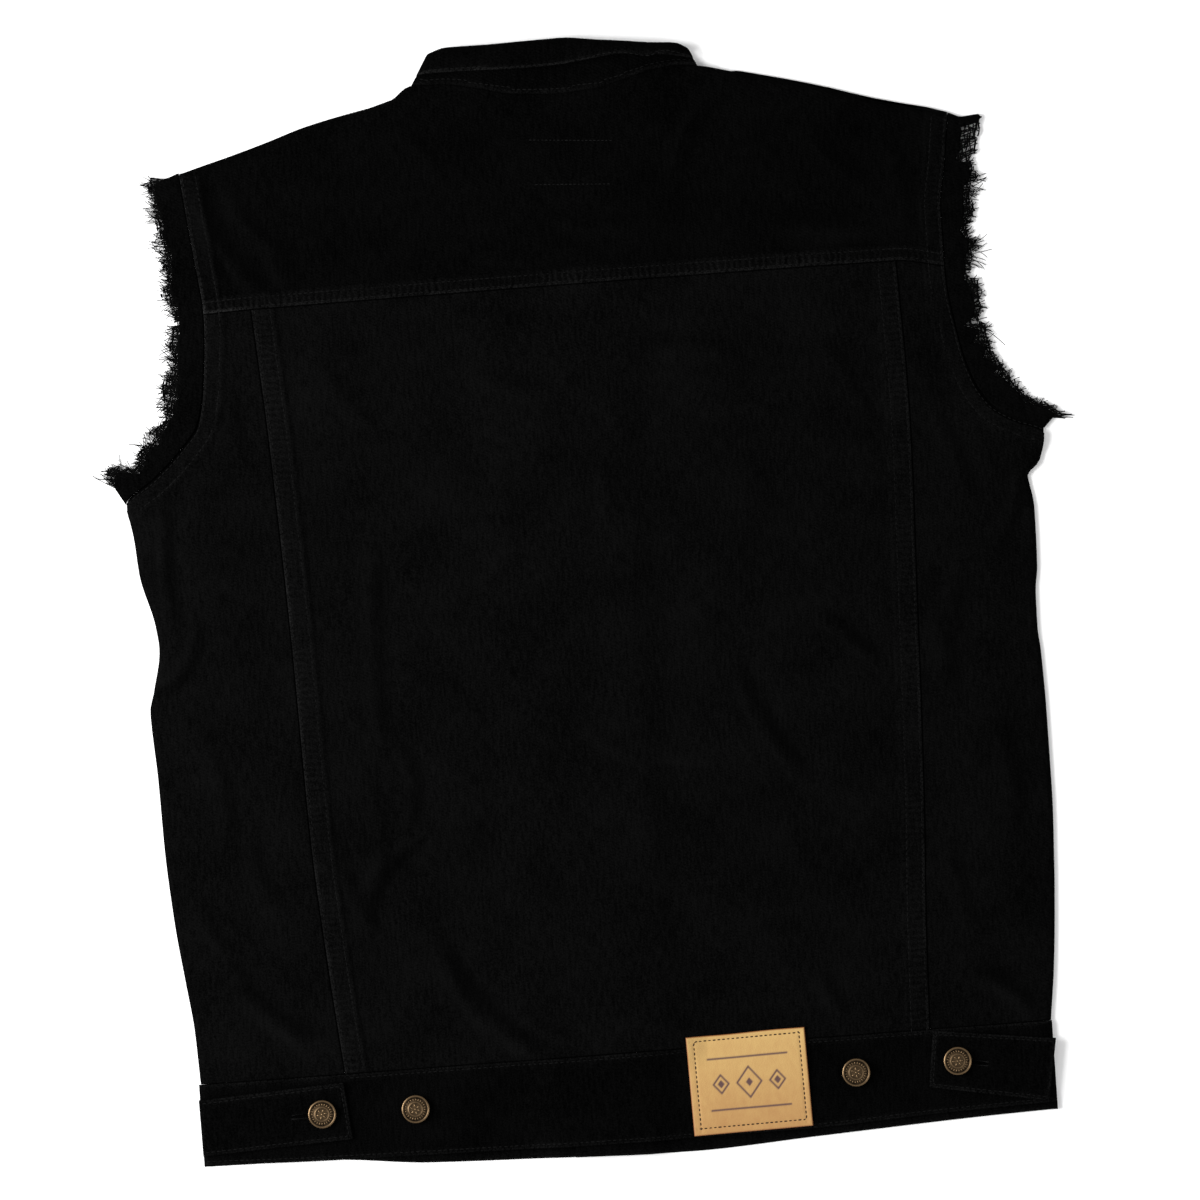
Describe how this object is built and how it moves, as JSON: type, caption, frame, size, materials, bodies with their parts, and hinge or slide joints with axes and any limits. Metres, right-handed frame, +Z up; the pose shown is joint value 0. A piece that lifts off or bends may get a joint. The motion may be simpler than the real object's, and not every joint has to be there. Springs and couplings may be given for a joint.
{
  "type": "denim vest",
  "caption": "Black denim trucker vest with cut-off frayed armholes, side tabs, metal buttons and a bare leather waistband patch, laid face down.",
  "frame": {"origin": "middle of the garment's footprint, on the surface it lies on", "axes": "+Z up off the surface, out of the vest's back; +Y from the hem to the collar; +X to the right as seen looking down on the back"},
  "size_m": [0.5838, 0.672, 0.0157],
  "materials": {
    "denim": "matte twill, black, faintly worn along the seams",
    "frayed_thread": "matte loose cotton threads",
    "patch_leather": "matte natural tan leather",
    "button_metal": "antique, worn bright on the rims"
  },
  "bodies": {
    "root": {"back_yoke": "denim", "back_centre": "denim", "back_side_left": "denim", "back_side_right": "denim", "waistband_back": "denim", "waistband_front_left": "denim", "waistband_front_right": "denim", "front_left": "denim", "front_right": "denim", "collar": "denim", "collar_leaf_left": "denim", "collar_leaf_right": "denim", "tab_left": "denim", "tab_right": "denim", "sleeve_back_left": "denim", "sleeve_back_right": "denim", "sleeve_front_left": "denim", "sleeve_front_right": "denim", "fringe_back_left": "frayed_thread", "fringe_back_right": "frayed_thread", "fringe_front_left": "frayed_thread", "fringe_front_right": "frayed_thread", "patch": "patch_leather", "button_tab_left": "button_metal", "button_band_left": "button_metal", "button_band_right": "button_metal", "button_tab_right": "button_metal", "front_button_1": "button_metal", "front_button_2": "button_metal", "front_button_3": "button_metal", "front_button_4": "button_metal", "front_button_5": "button_metal", "front_button_6": "button_metal"}
  },
  "joints": []
}
